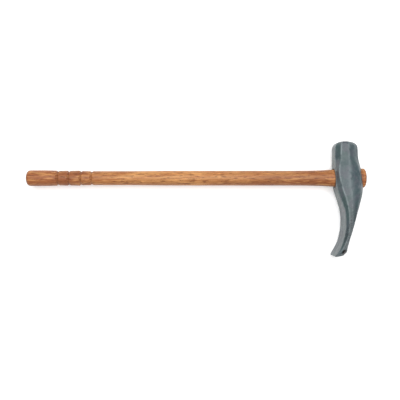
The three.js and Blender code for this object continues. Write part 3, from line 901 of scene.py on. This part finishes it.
def steel_finish(colours):
    """Bare rolled steel, brushed along its length, with small dents all over and patches of thin rust."""
    steel = Finish("wedge_steel")
    brushed = steel.noise(steel.place((60, 900, 900)), 1, 3.0)
    blows = steel.noise(steel.place(), 620, 3.0)
    rust = steel.noise(steel.place(), 260, 4.0, 0.7).step(0.56, 0.7)
    shade = steel.mix(rust * 0.4, tuple(colours.wedge_steel), tuple(colours.rust))
    return steel.surface({
        "Base Color": shade,
        "Metallic": 1.0 - rust * 0.5,
        "Roughness": 0.3 + brushed * 0.2 + rust * 0.2,
        "Normal": steel.bump(blows + brushed * 0.3, 0.1 * MM),
    })


def floor_finish(colours):
    """Plain matt pale board with a faint tooth."""
    board = Finish("floor")
    tooth = board.noise(board.place(), 900, 2.0)
    shade = tuple(colours.floor)
    return board.surface({
        "Base Color": board.mix(tooth * 0.1, shade, tuple(0.97 * channel for channel in shade)),
        "Roughness": 0.9,
        "Specular IOR Level": 0.1,
        "Emission Color": (1.0, 1.0, 1.0, 1.0),
        "Emission Strength": 0.32,
    })


# ------------------------------------------------------------------ operators

class HAMMER_OT_head(bpy.types.Operator):
    """Build the forged head with its eye"""

    bl_idname = "hammer.head"
    bl_label = "Forged Head"

    def execute(self, context):
        sizes = context.scene.hammer_head
        handle = context.scene.hammer_handle
        head = add_object("forged_head", head_mesh(sizes))
        cut(head, eye_cutter(handle, sizes))
        for name, values in head_paint_masks(sizes, vertex_array(head.data)).items():
            store(head.data, name, values)
        finish_piece(head, enamel_finish(context.scene.hammer_colours), "hammer_head")
        return {"FINISHED"}


class HAMMER_OT_handle(bpy.types.Operator):
    """Build the turned handle, slotted for its wedges"""

    bl_idname = "hammer.handle"
    bl_label = "Turned Handle"

    def execute(self, context):
        sizes = context.scene.hammer_handle
        head = context.scene.hammer_head
        wedge = context.scene.hammer_wedges
        handle = add_object("turned_handle", handle_blank(sizes, head))
        cut(handle, wood_wedge_block(wedge, sizes, wedge.slot_gap))
        for side in (1, -1):
            cut(handle, steel_slot_mesh(wedge, side))
        for name, values in handle_masks(sizes, head, vertex_array(handle.data)[:, 0]).items():
            store(handle.data, name, values)
        colours = context.scene.hammer_colours
        finish = grain_finish("handle_wood", tuple(colours.wood_pale), tuple(colours.wood_mid),
                              tuple(colours.wood_dark), tint=tuple(colours.wood_red))
        finish_piece(handle, finish, "handle")
        return {"FINISHED"}


class HAMMER_OT_wood_wedge(bpy.types.Operator):
    """Build the wooden wedge, trimmed flush with the handle's end"""

    bl_idname = "hammer.wood_wedge"
    bl_label = "Wooden Wedge"

    def execute(self, context):
        sizes = context.scene.hammer_handle
        head = context.scene.hammer_head
        wedge = context.scene.hammer_wedges
        piece = add_object("wooden_wedge", handle_blank(sizes, head, "wooden_wedge"))
        cut(piece, wood_wedge_block(wedge, sizes), "INTERSECT")
        for side in (1, -1):
            cut(piece, steel_slot_mesh(wedge, side))
        x = vertex_array(piece.data)[:, 0]
        end = smooth_step((x - HANDLE_HIGH.x + sizes.end_crown) / sizes.end_crown)
        store(piece.data, "painted_shade", np.zeros(len(x)))
        store(piece.data, "end_grain", 0.5 * end)
        pale = tuple(context.scene.hammer_colours.wedge_wood)
        middle = tuple(0.75 * channel for channel in pale)
        finish = grain_finish("wedge_wood", pale, middle, tuple(0.45 * channel for channel in pale), 0.2)
        finish_piece(piece, finish, "wood_wedge")
        return {"FINISHED"}


class HAMMER_OT_steel_wedges(bpy.types.Operator):
    """Build the two steel wedges driven across the wooden one"""

    bl_idname = "hammer.steel_wedges"
    bl_label = "Steel Wedges"

    def execute(self, context):
        finish = steel_finish(context.scene.hammer_colours)
        for name, side in (("upper", 1), ("lower", -1)):
            mesh = steel_wedge_mesh(context.scene.hammer_wedges, context.scene.hammer_handle, side)
            piece = add_object("steel_wedge_" + name + "_forged", mesh)
            finish_piece(piece, finish, "steel_wedge_" + name)
        return {"FINISHED"}


class HAMMER_OT_stage(bpy.types.Operator):
    """Set the pale floor, the soft lights and the camera overhead"""

    bl_idname = "hammer.stage"
    bl_label = "Stage"

    def execute(self, context):
        colours = context.scene.hammer_colours
        self.add_floor(colours)
        key_place, key_aim = (0.1, 0.6, 2.1), (0.1, 0.6, 0)
        self.add_light("key", key_place, key_aim, size=2.2, power=colours.key_power)
        self.add_world(context.scene, colours.fill_strength)
        self.add_camera(context.scene)
        context.scene.view_settings.view_transform = "Standard"
        return {"FINISHED"}

    @staticmethod
    def add_floor(colours):
        """A round board under the hammer, its top at the height that the hammer lies on."""
        angle = np.linspace(0, 2 * math.pi, 96, endpoint=False)
        radius, thickness = 4.0, 0.02
        rim_x, rim_y = radius * np.cos(angle), radius * np.sin(angle)
        levels = CAD_BOX[0][2] + np.array([-thickness, 0.0])
        rings = np.stack([np.stack([rim_x, rim_y, np.full(len(angle), level)], axis=-1) for level in levels])
        floor = add_object("floor", closed_tube("floor", rings))
        floor.data.materials.append(floor_finish(colours))

    @staticmethod
    def add_light(name, place, aim, size, power):
        """A square softbox that looks at a point."""
        data = bpy.data.lights.new(name, "AREA")
        data.shape = "SQUARE"
        data.size = size
        data.energy = power
        light = bpy.data.objects.new(name, data)
        light.location = place
        light.rotation_euler = (Vector(aim) - Vector(place)).to_track_quat("-Z", "Y").to_euler()
        bpy.context.scene.collection.objects.link(light)

    @staticmethod
    def add_world(scene, strength):
        """Even pale light from all round."""
        world = bpy.data.worlds.new("studio")
        world.use_nodes = True
        background = world.node_tree.nodes["Background"]
        background.inputs["Color"].default_value = (1.0, 1.0, 1.0, 1.0)
        background.inputs["Strength"].default_value = strength
        scene.world = world

    @staticmethod
    def add_camera(scene):
        """Straight down on the hammer from arm's length."""
        height = 973.5 * MM
        half_view = 354 * MM
        data = bpy.data.cameras.new("overhead")
        data.sensor_fit = "HORIZONTAL"
        data.angle = 2 * math.atan(half_view / height)
        data.clip_start = 0.01
        camera = bpy.data.objects.new("overhead", data)
        camera.location = (6.6 * MM, -2.0 * MM, AXIS_Z + height)
        scene.collection.objects.link(camera)
        scene.camera = camera


class HAMMER_PT_pieces(bpy.types.Panel):
    """Lists the hammer's pieces and their sizes"""

    bl_idname = "HAMMER_PT_pieces"
    bl_label = "Chipping Hammer"
    bl_space_type = "VIEW_3D"
    bl_region_type = "UI"
    bl_category = "Hammer"

    def draw(self, context):
        for operator, group in STEPS:
            self.layout.operator(operator)
            settings = getattr(context.scene, group)
            box = self.layout.box()
            for name in settings.__annotations__:
                box.prop(settings, name)


STEPS = (
    ("hammer.head", "hammer_head"),
    ("hammer.handle", "hammer_handle"),
    ("hammer.wood_wedge", "hammer_wedges"),
    ("hammer.steel_wedges", "hammer_wedges"),
    ("hammer.stage", "hammer_colours"),
)
GROUPS = {
    "hammer_head": HammerHeadSizes,
    "hammer_handle": HammerHandleSizes,
    "hammer_wedges": HammerWedgeSizes,
    "hammer_colours": HammerColours,
}
CLASSES = (*GROUPS.values(), HAMMER_OT_head, HAMMER_OT_handle, HAMMER_OT_wood_wedge,
           HAMMER_OT_steel_wedges, HAMMER_OT_stage, HAMMER_PT_pieces)


def register():
    for cls in CLASSES:
        bpy.utils.register_class(cls)
    for name, group in GROUPS.items():
        setattr(bpy.types.Scene, name, bpy.props.PointerProperty(type=group))


def unregister():
    for name in GROUPS:
        delattr(bpy.types.Scene, name)
    for cls in reversed(CLASSES):
        bpy.utils.unregister_class(cls)


def main():
    """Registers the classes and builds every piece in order."""
    register()
    bpy.ops.hammer.head()
    bpy.ops.hammer.handle()
    bpy.ops.hammer.wood_wedge()
    bpy.ops.hammer.steel_wedges()
    bpy.ops.hammer.stage()


if __name__ == "__main__":
    main()
